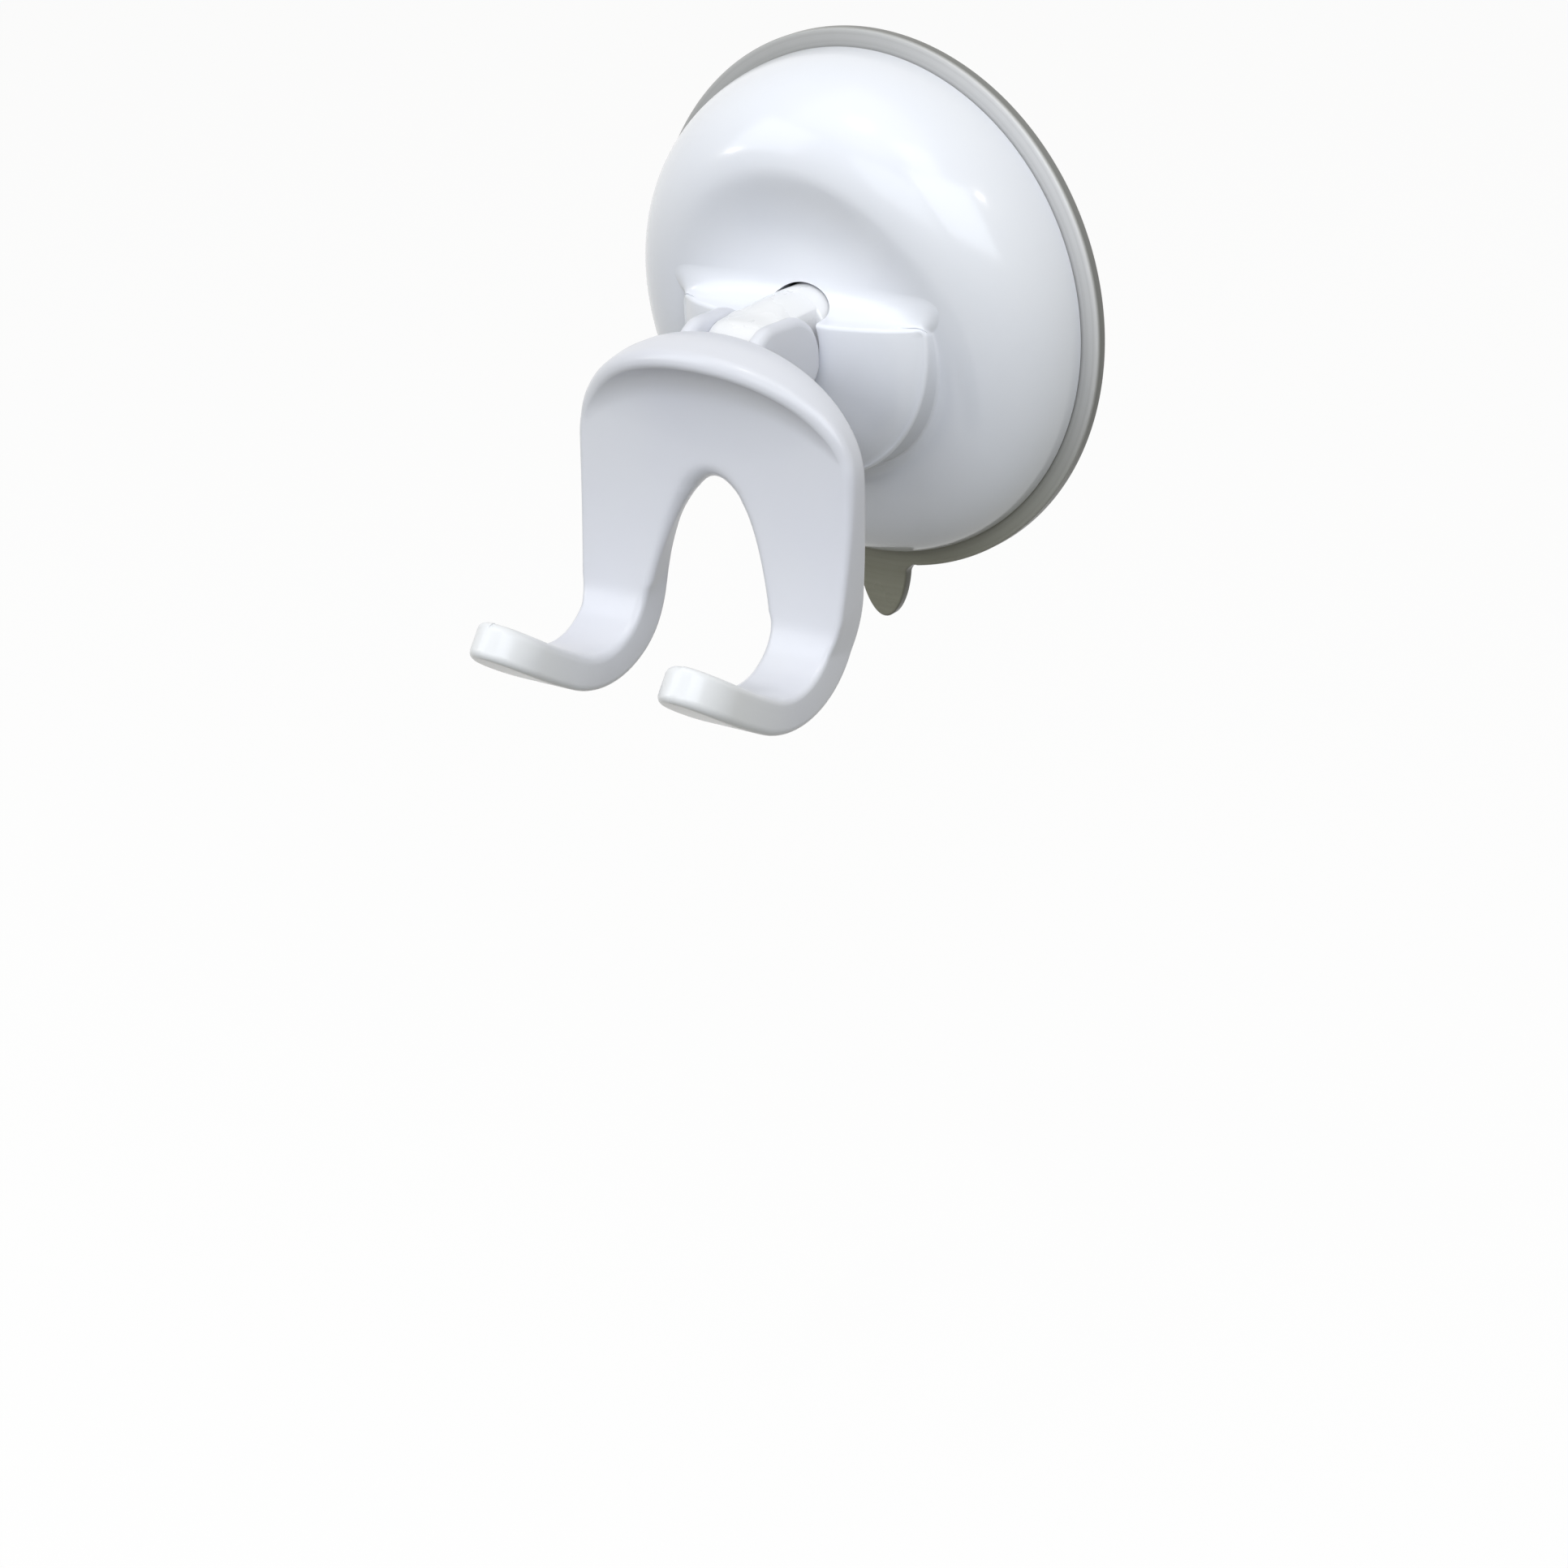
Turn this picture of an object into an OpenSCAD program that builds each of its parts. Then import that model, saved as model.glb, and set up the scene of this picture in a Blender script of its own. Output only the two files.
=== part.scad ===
// Suction razor holder: a fork on a lever that draws a suction cup tight.
// X is to the right, +Y goes into the wall, +Z is up.
// The origin is the middle of the suction cup, on the wall's surface.
// The lever is drawn down, in its locked place.

/* [Suction cup] */
// Outer radius of the soft cup
cup_r = 31; // [29:0.5:34]
// Thickness of the cup's rim
rim_t = 1.7; // [1.2:0.1:2.2]
// Inner radius of the flat land that seals on the wall
land_r = 23; // [21:0.5:25]
// How far the middle of the cup stands off the wall when drawn
recess = 1.65; // [1:0.05:2]
// How far the pull tab reaches beyond the rim
tab_out = 6.8; // [4:0.2:9]
// Width of the pull tab
tab_w = 7.1; // [6:0.1:9]
// Thickness of the pull tab
tab_t = 1.3; // [0.8:0.1:1.7]

/* [Cover] */
// Radius of the cover's free edge
edge_r = 29; // [28:0.5:30]
// Radius of the crest that runs round the front
crest_r = 18.5; // [17.5:0.5:20]
// Height of the crest above the wall at its two sides
crest_h = 12.3; // [11:0.1:14]
// How much more the crest stands out at the top than at the sides
crest_lean = 3.9; // [2:0.1:5]
// Exponent of the rounded shoulder, 2 is an ellipse
shoulder_n = 1.95; // [1.6:0.05:2.6]
// Height of the flat floor round the stem
floor_h = 13; // [12.5:0.1:13.5]
// Wall thickness of the cover
wall_t = 1.8; // [1.4:0.1:2.2]

/* [Pad] */
// Radius of the half round pad that the cams press on
pad_r = 17; // [15.5:0.5:18]
// Height of the pad's flat top edge above the cup's middle
shelf_z = 2.2; // [1.5:0.1:3]
// Radius of the raised flat in the pad's middle
pad_flat_r = 7.4; // [7:0.1:8.5]

/* [Stem and pin] */
// Radius of the round stem
stem_r = 4.9; // [4.5:0.1:5.2]
// Width of the flat eye at the stem's end
eye_w = 6.7; // [6:0.1:7]
// Radius of the rounded end of the eye
eye_r = 3.6; // [3.2:0.1:4]
// Radius of the pivot pin
pin_r = 1.5; // [1.2:0.1:1.8]
// Distance of the pin from the wall
pin_h = 23.2; // [23:0.1:24]

/* [Lever cams] */
// Distance from pin to pad with the lever down
cam_down = 5.5; // [5.2:0.1:5.8]
// How far a quarter turn of the lever lets the stem go
travel = 1.5; // [1:0.1:1.5]
// Space kept between cams and pad
cam_gap = 0.15; // [0.1:0.05:0.3]
// Thickness of each cam cheek
cheek_t = 2.3; // [2:0.05:2.8]
// How far the foot of each cam stands out beside its cheek
foot_t = 1.1; // [0.6:0.1:1.4]

/* [Fork] */
// Half width of the arched head
head_a = 19.2; // [18:0.1:20]
// Height of the arch
head_b = 13.4; // [12:0.2:14]
// Height of the arch's widest line
head_z = -9.9; // [-11:0.1:-9]
// How far the lip stands in front of the plate
lip_out = 3.5; // [2:0.1:4]
// Thickness of the lip
lip_t = 2.4; // [1.8:0.1:3]
// Top of the gap between the legs
gap_top = -11.9; // [-12.5:0.1:-10]
// Centre of each arm from the middle
arm_x = 13; // [12.5:0.1:13.5]
// Width of each arm
arm_w = 8; // [7:0.2:8.4]
// Outer radius of the bend under the legs
bend_r = 11.8; // [11.5:0.1:12.5]
// Height of the bend's centre
bend_z = -23.3; // [-25:0.1:-22]
// Length of the upturned end of each arm
tip_run = 12.6; // [10:0.2:16]

/* [Hidden] */
$fn = 96;

// Small overlap that makes cuts clean
eps = 0.02;
// The cover's edge stands just clear of the cup's rim
edge_h = rim_t + 0.05;
// The hole in the cover's front, and the closer bore behind it that guides the stem
hole_r = stem_r + 0.3;
guide_r = stem_r + 0.05;
// Hub of the cup, and the rigid disc that it holds
hub_r = 10.8;
hub_h = 6.3;
disc_r = 9;
disc_t = 1.1;
disc_top = 5.1;
film_t = 0.8;
// Ring inside the cover that presses the cup to the wall
press_r = 20.2;
press_t = 1.4;
press_h = 2.75;
// Sleeve round the stem inside the cover
sleeve_r = 6.7;
sleeve_h = 7.2;
rib_t = 1.2;
rib_h = 8;
rib_n = 10;
// Pad
pad_h = pin_h - cam_down - cam_gap;
pad_edge_h = 13.6;
// Height on the stem where its flats begin
flat_h = 15.6;
// Cheeks and bosses of the lever
cheek_x = eye_w / 2 + 0.3;
boss_t = 0.4;
boss_r = 3.9;
cam_up = cam_down - travel;
cam_slope = -travel * 180 / PI / 90;
pin_head_r = 2.4;
pin_head_t = 0.9;
blind_x = cheek_x + cheek_t + boss_t - 0.8;
// Seat of the pin's head in the left boss
seat_r = pin_head_r + 0.15;
seat_x = cheek_x + cheek_t + boss_t - 0.05;
// Plate of the fork
head_x = 18.8;
plate_back = 28.2;
plate_t = 2.8;
gap_k = 0.166;
lip_arc_r = 52;
lip_straight = 2;
lip_taper = 0.93;
side_top = 4;
bend_y = plate_back + bend_r;
cradle_r = 7;
cradle_y = 40.2;
cradle_z = -24.1;
turn = 117;
lead = 12;
lead_y = cradle_y - cradle_r * cos(lead);
lead_z = cradle_z - cradle_r * sin(lead);
thick_z = -12;
tip_arc_r = 70;
tip_sweep = tip_run / tip_arc_r * 180 / PI;
tip_t = 4;
tip_len = 6;
// Steps round the cover and along its profile
round_steps = 60;
shoulder_steps = 10;
dish_steps = 6;
flat_in_r = 8;

// Turns a shape drawn with Z as its distance from the wall
module off_wall() {
    rotate([90, 0, 0]) children();
}

// Turns an outline in distance from the wall and height, pushed along X
module side_slab(x0, x1) {
    translate([x0, 0, 0]) mirror([0, 1, 0]) rotate([90, 0, 90])
        linear_extrude(x1 - x0) children();
}

// Shaft along X at the pin's place
module pin_line(r, x0, x1) {
    translate([x0, -pin_h, 0]) rotate([0, 90, 0]) cylinder(r = r, h = x1 - x0);
}

// Soft cup: sealing land, drawn-in middle, hub with a pocket for the stem's disc, pull tab
module suction_cup() {
    color([0.72, 0.72, 0.68]) off_wall() difference() {
        union() {
            rotate_extrude() polygon([
                [0, recess], [hub_r, recess], [land_r, 0], [cup_r - 0.3, 0],
                [cup_r, 0.3], [cup_r, rim_t - 0.3], [cup_r - 0.3, rim_t],
                [edge_r - 2, rim_t], [press_r, press_h - 0.05], [hub_r + 2, 3.5],
                [hub_r, 4.6], [hub_r, hub_h - 0.6], [hub_r - 0.6, hub_h], [0, hub_h]
            ]);
            linear_extrude(tab_t) pull_tab_outline();
        }
        translate([0, 0, recess + film_t])
            cylinder(r = disc_r + 0.05, h = disc_top - recess - film_t);
        cylinder(r = hole_r, h = hub_h + 1);
        translate([0, 0, -eps]) cylinder(r = hole_r + 1, h = recess);
    }
    color([0.72, 0.72, 0.68]) off_wall() translate([0, 0, recess])
        cylinder(r = disc_r, h = film_t);
}

// Outline of the tab: straight sides that run into a blunt round end
module pull_tab_outline() {
    root = -(cup_r - 2);
    span = tab_out + 2;
    steps = 20;
    polygon([for (i = [0 : steps]) let (a = 180 * i / steps, c = cos(a))
        [tab_w / 2 * sign(c) * pow(abs(c), 0.8), root - span * pow(sin(a), 0.8)]]);
}

// Rigid stem: disc inside the cup, round shaft, flat eye for the pin
module draw_stem() {
    color("white") difference() {
        union() {
            off_wall() translate([0, 0, disc_top - disc_t]) cylinder(r = disc_r, h = disc_t);
            off_wall() translate([0, 0, disc_top - eps]) cylinder(r = stem_r, h = flat_h - disc_top);
            intersection() {
                off_wall() translate([0, 0, flat_h - 0.5]) cylinder(r = stem_r, h = pin_h);
                side_slab(-eye_w / 2, eye_w / 2)
                    polygon([[flat_h - 1, stem_r + 1], [pin_h - 4.5, stem_r + 1],
                        [pin_h + 0.2, eye_r - 0.1], [pin_h + 0.2, 0.1 - eye_r],
                        [pin_h - 4.5, -stem_r - 1], [flat_h - 1, -stem_r - 1]]);
            }
            pin_line(eye_r, -eye_w / 2, eye_w / 2);
        }
        pin_line(pin_r, -stem_r, stem_r);
    }
}

// Height of the crest at angle a round the cover
function crest_at(a) = crest_h + crest_lean * sin(a);

// Shoulder, from the free edge at p = 0 to the crest at p = 90, set in by t
function shoulder_pt(a, p, t) =
    let (u = pow(cos(p), 2 / shoulder_n), v = pow(sin(p), 2 / shoulder_n),
        r = crest_r + (edge_r - t - crest_r) * u,
        h = edge_h + (crest_at(a) - t - edge_h) * v)
    [r * cos(a), r * sin(a), h];

// Dish, from the crest at s = 1 to the flat floor at s = 0: a square curve that levels at the crest
function dish_pt(a, s, t) =
    let (r = flat_in_r + (crest_r - flat_in_r) * s, k = (s * s - pow(s, 8) / 4) / 0.75)
    [r * cos(a), r * sin(a), floor_h - t + (crest_at(a) - floor_h) * k];

// Closed solid under the cover's skin, set in by t and reaching down to height low
module dome_solid(t, low) {
    n = round_steps;
    turn = [for (j = [0 : n - 1]) 360 * j / n];
    low_ring = [for (a = turn) let (p = shoulder_pt(a, 0, t)) [p[0], p[1], low]];
    skin = concat(
        [for (i = [0 : shoulder_steps]) for (a = turn)
            shoulder_pt(a, 90 * i / shoulder_steps, t)],
        [for (i = [dish_steps - 1 : -1 : 0]) for (a = turn)
            dish_pt(a, i / dish_steps, t)]
    );
    rings = shoulder_steps + dish_steps + 1;
    polyhedron(
        points = concat(low_ring, skin),
        faces = concat(
            [[for (j = [0 : n - 1]) j]],
            [for (k = [0 : rings - 1]) for (j = [0 : n - 1])
                [k * n + j, (k + 1) * n + j, (k + 1) * n + (j + 1) % n]],
            [for (k = [0 : rings - 1]) for (j = [0 : n - 1])
                [k * n + j, (k + 1) * n + (j + 1) % n, k * n + (j + 1) % n]],
            [[for (j = [n - 1 : -1 : 0]) rings * n + j]]
        ),
        convexity = 4
    );
}

// Half round boss with a crowned face, set in by t
module pad_solid(t) {
    intersection() {
        rotate_extrude() polygon([
            [0, 0], [pad_r - t, 0], [pad_r - t, pad_edge_h - 0.5 - t],
            [pad_r - 0.5 - t, pad_edge_h - t], [14.2, pad_edge_h + 0.5 - t],
            [12, pad_edge_h + 1.5 - t], [pad_flat_r + 1.8, pad_h - 0.9 - t],
            [pad_flat_r, pad_h - t], [0, pad_h - t]
        ]);
        translate([-pad_r, shelf_z - t - 2 * pad_r, 0]) cube([2 * pad_r, 2 * pad_r, pin_h]);
    }
}

// Hard cover: leaning dome with a dish, pad for the cams, press ring, ribs and stem sleeve
module dome_cover() {
    color("white") off_wall() difference() {
        union() {
            difference() {
                union() {
                    dome_solid(0, edge_h);
                    intersection() {
                        pad_solid(0);
                        translate([0, 0, edge_h + 4]) cylinder(r = pad_r + 1, h = pin_h);
                    }
                }
                dome_solid(wall_t, edge_h - 1);
                pad_solid(wall_t);
            }
            intersection() {
                dome_solid(wall_t / 2, edge_h);
                union() {
                    translate([0, 0, press_h]) difference() {
                        cylinder(r = press_r + press_t / 2, h = pin_h);
                        translate([0, 0, -1]) cylinder(r = press_r - press_t / 2, h = pin_h + 2);
                    }
                    for (i = [0 : rib_n - 1]) rotate(360 / rib_n * (i + 0.5))
                        translate([sleeve_r - 0.5, -rib_t / 2, rib_h])
                            cube([crest_r - sleeve_r + 4, rib_t, pin_h]);
                }
            }
            translate([0, 0, sleeve_h]) cylinder(r = sleeve_r, h = floor_h - 0.5 - sleeve_h);
            intersection() {
                pad_solid(wall_t / 2);
                translate([0, 0, floor_h - 1]) cylinder(r = sleeve_r - 0.4, h = pin_h);
            }
        }
        translate([0, 0, edge_h]) cylinder(r = guide_r, h = pin_h);
        translate([0, 0, floor_h - 1.5]) cylinder(r = hole_r, h = pin_h);
    }
}

// Pin: shank pressed in the stem's eye, domed head on the left
module pivot_pin() {
    left = cheek_x + cheek_t + boss_t + 0.05;
    color("silver") union() {
        pin_line(pin_r, -left - eps, blind_x - 0.1);
        intersection() {
            pin_line(pin_head_r, -left - pin_head_t, -left);
            translate([3.4 - left - pin_head_t, -pin_h, 0]) sphere(r = 3.4);
        }
    }
}

// Point of the cam outline where it bears on the pad when the lever is turned up by a.
// Its distance from the pin falls evenly with the turn.
function cam_pt(a) = let (h = cam_down - travel * a / 90)
    [h * cos(a) - cam_slope * sin(a), h * sin(a) + cam_slope * cos(a)];

// Outline of one cheek seen from the side, from the pin, first axis towards the wall
module cheek_outline() {
    back = plate_back + 0.6 - pin_h;
    polygon(concat(
        [[-back, -8.4], [0.6, -5.5], [2.6, -5], [4.4, -3.9], [5.25, -2.9], [cam_down, -2]],
        [for (i = [0 : 15]) cam_pt(6 * i)],
        [[-1, cam_up], [-2.5, cam_up], [-3.2, cam_up + 0.7], [-4, cam_up + 0.7], [-back, 2.6]]
    ));
}

// Outline of the foot that widens each cam, inside the cheek's outline
module foot_outline() {
    polygon([[1.3, -4.4], [2.6, -4.7], [4, -3.85], [4.75, -3], [5.05, -2.1], [4.8, -1.2],
        [4.1, -0.45], [3.2, -0.05], [2.2, 0.1], [1.4, -0.6], [1.1, -2.5]]);
}

// Outer edge of a leg, from the arch at s = 0 to the arm at s = 1
function leg_edge(s) = [head_x - (head_x - arm_x - arm_w / 2) * pow(s, 1.7),
    head_z + eps - (head_z - bend_z + 6) * s];

// Front outline of the fork: arch, legs and arms, with the gap cut out
module fork_front() {
    low = -40;
    difference() {
        union() {
            intersection() {
                polygon([for (i = [0 : 36]) [head_a * cos(5 * i), head_z + head_b * sin(5 * i)]]);
                translate([-head_x, head_z]) square([2 * head_x, head_b]);
            }
            polygon(concat(
                [for (i = [0 : 6]) leg_edge(i / 6)],
                [[arm_x + arm_w / 2, low], [-arm_x - arm_w / 2, low]],
                [for (i = [6 : -1 : 0]) let (p = leg_edge(i / 6)) [-p[0], p[1]]]
            ));
        }
        gap_outline(low - 1);
    }
}

// Gap between the legs: a parabola that runs out into two straight sides
module gap_outline(low) {
    side = arm_x - arm_w / 2;
    steps = 12;
    polygon(concat(
        [[side, low]],
        [for (i = [steps : -1 : -steps]) let (x = side * i / steps) [x, gap_top - gap_k * x * x]],
        [[-side, low]]
    ));
}

// Back of the fork in side view, first axis away from the wall.
// Straight leg from s = 0 to 1, bend to 2, upturned tip to 3. t sets the tip's line in.
function back_pt(s, t = 0) =
    s <= 1 ? [plate_back, side_top + (bend_z - side_top) * s]
    : s <= 2 ? let (a = turn * (s - 1))
        [bend_y - bend_r * cos(a), bend_z - bend_r * sin(a)]
    : let (a = turn + tip_sweep * (s - 2), k = tip_arc_r - bend_r)
        [bend_y + k * cos(turn) - (tip_arc_r - t) * cos(a),
        bend_z + k * sin(turn) - (tip_arc_r - t) * sin(a)];

// Front of the fork in side view: the leg thickens downwards
function front_pt(s) =
    s <= 1 ? let (k = max(0, 2 * s - 1),
            z = side_top + (bend_z - side_top) * s + (lead_z - bend_z) * k * k,
            u = max(0, (thick_z - z) / (thick_z - lead_z)))
        [plate_back + plate_t + (lead_y - plate_back - plate_t) * pow(u, 1.225), z]
    : s <= 2 ? let (a = lead + (turn - lead) * (s - 1))
        [cradle_y - cradle_r * cos(a), cradle_z - cradle_r * sin(a)]
    : back_pt(s, tip_t);

// Side outline of the fork
module fork_side() {
    stops = concat([for (i = [0 : 16]) i / 16], [for (i = [1 : 14]) 1 + i / 14],
        [for (i = [1 : 8]) 2 + 1.2 * i / 8]);
    polygon(concat(
        [for (s = stops) back_pt(s)],
        [for (i = [len(stops) - 1 : -1 : 0]) front_pt(stops[i])]
    ));
}

// Bounds of the fork from above: all that is near the wall, and two arms with round ends.
// The ends are cut square to the upturned tips.
module fork_bounds() {
    half = arm_w / 2;
    tip = back_pt(3);
    translate([-20, -bend_y - bend_r, -45]) cube([40, bend_y + bend_r, 60]);
    for (side = [-1, 1]) translate([side * arm_x, -tip[0], tip[1]])
        rotate([90 - turn - tip_sweep, 0, 0]) translate([0, tip_len, -10])
            linear_extrude(20) union() {
                polygon([for (a = [0 : 7.5 : 180]) [half * cos(a), -tip_len * sin(a)]]);
                translate([-half, -eps]) square([arm_w, 2 * tip_run]);
            }
}

// Lip along the arch: a band of the front outline, its front face a wide arc in plan
module lip() {
    front = plate_back + plate_t + lip_out;
    root = plate_back + lip_straight;
    intersection() {
        union() {
            off_wall() translate([0, 0, plate_back]) linear_extrude(lip_straight) arch_band();
            translate([0, -root, head_z]) rotate([90, 0, 0])
                linear_extrude(front - root, scale = lip_taper)
                    translate([0, -head_z]) arch_band();
        }
        translate([0, lip_arc_r - front, head_z - 1]) cylinder(r = lip_arc_r, h = 20, $fn = 180);
    }
}

// Band between the arch and a lower arch inside it
module arch_band() {
    difference() {
        polygon([for (i = [0 : 36]) [head_a * cos(5 * i), head_z + head_b * sin(5 * i)]]);
        polygon([for (i = [0 : 36]) [(head_a - lip_t) * cos(5 * i),
            head_z - eps + (head_b - lip_t) * sin(5 * i)]]);
    }
}

// Lever: fork with its arms, lip, and two cam cheeks with bosses on the pin
module razor_fork() {
    color("white") difference() {
        union() {
            intersection() {
                side_slab(-20, 20) fork_side();
                off_wall() linear_extrude(60) fork_front();
                fork_bounds();
            }
            lip();
            for (side = [0, 1]) mirror([side, 0, 0]) {
                translate([cheek_x, -pin_h, 0]) rotate([90, 0, 90])
                    linear_extrude(cheek_t) cheek_outline();
                translate([cheek_x + cheek_t - eps, -pin_h, 0]) rotate([90, 0, 90])
                    linear_extrude(foot_t + eps) foot_outline();
                pin_line(boss_r, cheek_x, cheek_x + cheek_t + boss_t);
            }
        }
        pin_line(pin_r + 0.05, -20, blind_x);
        pin_line(seat_r, -20, -seat_x);
        pin_line(eye_r + 1.7, -cheek_x, cheek_x);
    }
}

suction_cup();
draw_stem();
dome_cover();
pivot_pin();
razor_fork();
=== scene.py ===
# %% [markdown]
# # A suction razor holder
# A white fork on a lever hangs in front of a suction cup. Turning the lever down draws a stem out
# of the cover, and the stem pulls the middle of the soft cup off the wall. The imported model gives
# the main sizes and places, so each surface below is worked out in the same millimetres and put
# straight there.

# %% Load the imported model
import math

import bmesh
import bpy
import numpy as np
from mathutils import Matrix, Vector


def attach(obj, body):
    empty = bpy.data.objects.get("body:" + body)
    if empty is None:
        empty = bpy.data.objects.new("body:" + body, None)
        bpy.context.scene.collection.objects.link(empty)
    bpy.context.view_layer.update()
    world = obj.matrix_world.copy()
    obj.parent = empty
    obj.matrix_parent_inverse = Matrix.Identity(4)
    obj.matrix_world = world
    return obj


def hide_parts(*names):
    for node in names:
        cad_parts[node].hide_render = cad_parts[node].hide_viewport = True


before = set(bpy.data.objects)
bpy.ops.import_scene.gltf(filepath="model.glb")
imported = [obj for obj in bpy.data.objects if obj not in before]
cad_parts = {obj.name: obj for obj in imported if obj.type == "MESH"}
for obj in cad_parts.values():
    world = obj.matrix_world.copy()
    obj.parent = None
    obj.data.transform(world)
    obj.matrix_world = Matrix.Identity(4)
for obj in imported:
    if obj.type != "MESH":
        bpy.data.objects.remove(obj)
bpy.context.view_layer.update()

MM = 0.001
print("nodes:", sorted(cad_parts))

# %% [markdown]
# ## The camera first
# The photograph was taken from the right and a little above, close by, so the near arms look bigger
# than the cover. Setting the camera first means that each piece can be judged as it is made. The
# view's direction is given as two angles and a small roll, and the lens as its focal length.

# %% Camera
AZIMUTH, ELEVATION, ROLL = math.radians(39.047), math.radians(22.716), math.radians(-3.546)
EYE = Vector((0.242788, -0.321163, 0.109788))

back = Vector((math.sin(AZIMUTH) * math.cos(ELEVATION),
               -math.cos(AZIMUTH) * math.cos(ELEVATION), math.sin(ELEVATION)))
level = (-back).cross(Vector((0, 0, 1))).normalized()
upright = level.cross(-back)
right = level * math.cos(ROLL) + upright * math.sin(ROLL)
up = upright * math.cos(ROLL) - level * math.sin(ROLL)

camera_data = bpy.data.cameras.new("camera")
camera_data.sensor_width = 36
camera_data.lens = 4500 / 1932 * 36
camera = bpy.data.objects.new("camera", camera_data)
bpy.context.scene.collection.objects.link(camera)
camera.matrix_world = Matrix((
    (right.x, up.x, back.x, EYE.x), (right.y, up.y, back.y, EYE.y),
    (right.z, up.z, back.z, EYE.z), (0, 0, 0, 1)))
bpy.context.scene.camera = camera
print("lens", round(camera_data.lens, 2), "mm")

# %% [markdown]
# ## Surfaces from arrays
# Every moulded piece here is a closed skin. A skin is a stack of rings with the same number of
# points: neighbouring rings are joined by quads, and the first and last ring are closed by a fan
# to their middle. Rings are easy to work out as whole arrays, and a round edge is only a few rings
# more.

# %% Rings to a mesh
def skin(rings):
    """Closed skin from an array (rings, points, 3) in mm. Ring i's point j, the next point and the
    same two of ring i + 1 are a quad. Both end rings are joined to their mean point."""
    rows, cols, _ = rings.shape
    i = np.arange(rows - 1)[:, None] * cols
    j = np.arange(cols)[None, :]
    k = (j + 1) % cols
    quads = np.stack([i + j, i + k, i + cols + k, i + cols + j], -1).reshape(-1, 4)
    points = np.concatenate([rings.reshape(-1, 3), rings[:1].mean(1), rings[-1:].mean(1)])
    j, k = j[0], k[0]
    first = np.stack([k, j, np.full(cols, rows * cols)], -1)
    last = np.stack([(rows - 1) * cols + j, (rows - 1) * cols + k,
                     np.full(cols, rows * cols + 1)], -1)
    return points, [quads, first, last]


def piece(name, skins, sharp=40):
    """One object from closed skins in mm. Points that fall together are merged, which also closes
    the pinched rings, and normals are turned outwards. Edges above the sharp angle stay crisp."""
    points, faces, base = [], [], 0
    for p, groups in skins:
        points.append(p)
        for g in groups:
            faces.extend((g + base).tolist())
        base += len(p)
    mesh = bpy.data.meshes.new(name)
    mesh.from_pydata((np.concatenate(points) * MM).tolist(), [], faces)
    work = bmesh.new()
    work.from_mesh(mesh)
    bmesh.ops.remove_doubles(work, verts=work.verts, dist=2e-7)
    bmesh.ops.dissolve_degenerate(work, edges=work.edges, dist=1e-7)
    bmesh.ops.recalc_face_normals(work, faces=work.faces)
    work.to_mesh(mesh)
    work.free()
    smooth_shade(mesh, sharp)
    made = bpy.data.objects.new(name, mesh)
    bpy.context.scene.collection.objects.link(made)
    print(name, len(mesh.polygons), "faces")
    return made


def smooth_shade(mesh, sharp):
    """Smooth shading, with edges above the angle sharp, in degrees, kept crisp."""
    mesh.polygons.foreach_set("use_smooth", np.ones(len(mesh.polygons), bool))
    mesh.set_sharp_from_angle(angle=math.radians(sharp))


# %% [markdown]
# ## Curves through a few measured points
# Many profiles are known at a handful of places. A cubic that runs through them, with slopes taken
# from their neighbours, gives a smooth moulded line without hand-drawn curves.

# %% Curve helpers
def through(x, xs, ys):
    """Height at x of the cubic through (xs, ys): Hermite's form, slopes by central differences."""
    xs, ys = np.asarray(xs, float), np.asarray(ys, float)
    slope = np.gradient(ys, xs)
    x = np.clip(x, xs[0], xs[-1])
    i = np.clip(np.searchsorted(xs, x) - 1, 0, len(xs) - 2)
    d = xs[i + 1] - xs[i]
    t = (x - xs[i]) / d
    return ((1 + 2 * t) * (1 - t) ** 2 * ys[i] + t * (1 - t) ** 2 * d * slope[i]
            + t * t * (3 - 2 * t) * ys[i + 1] + t * t * (t - 1) * d * slope[i + 1])


def closed_curve(points, count):
    """Closed smooth curve through points, as count points evenly spaced along it."""
    p = np.asarray(points, float)
    t = np.linspace(0, 1, 24, endpoint=False)[None, :, None]
    a, b, c, d = (np.roll(p, s, 0)[:, None] for s in (1, 0, -1, -2))
    dense = 0.5 * (2 * b + (c - a) * t + (2 * a - 5 * b + 4 * c - d) * t ** 2
                   + (3 * b - a - 3 * c + d) * t ** 3)
    dense = dense.reshape(-1, 2)
    closed = np.vstack([dense, dense[:1]])
    run = np.concatenate([[0], np.cumsum(np.linalg.norm(np.diff(closed, axis=0), axis=1))])
    at = np.linspace(0, run[-1], count, endpoint=False)
    return np.stack([np.interp(at, run, closed[:, 0]), np.interp(at, run, closed[:, 1])], -1)


def outward(outline):
    """Unit normals of a closed outline that runs clockwise: its tangent turned to the left."""
    tangent = np.roll(outline, -1, 0) - np.roll(outline, 1, 0)
    tangent /= np.linalg.norm(tangent, axis=1)[:, None]
    normal = np.stack([-tangent[:, 1], tangent[:, 0]], -1)
    following = np.roll(outline, -1, 0)
    area = np.sum(outline[:, 0] * following[:, 1] - outline[:, 1] * following[:, 0])
    return normal if area < 0 else -normal


def smoothstep(t):
    """Zero to one, level at both ends: 3t^2 - 2t^3."""
    t = np.clip(t, 0, 1)
    return t * t * (3 - 2 * t)


def off_wall(x, z, height):
    """Points (X, Y, Z) from a place on the wall and a height off it."""
    return np.stack(np.broadcast_arrays(x, -height, z), -1)


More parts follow.
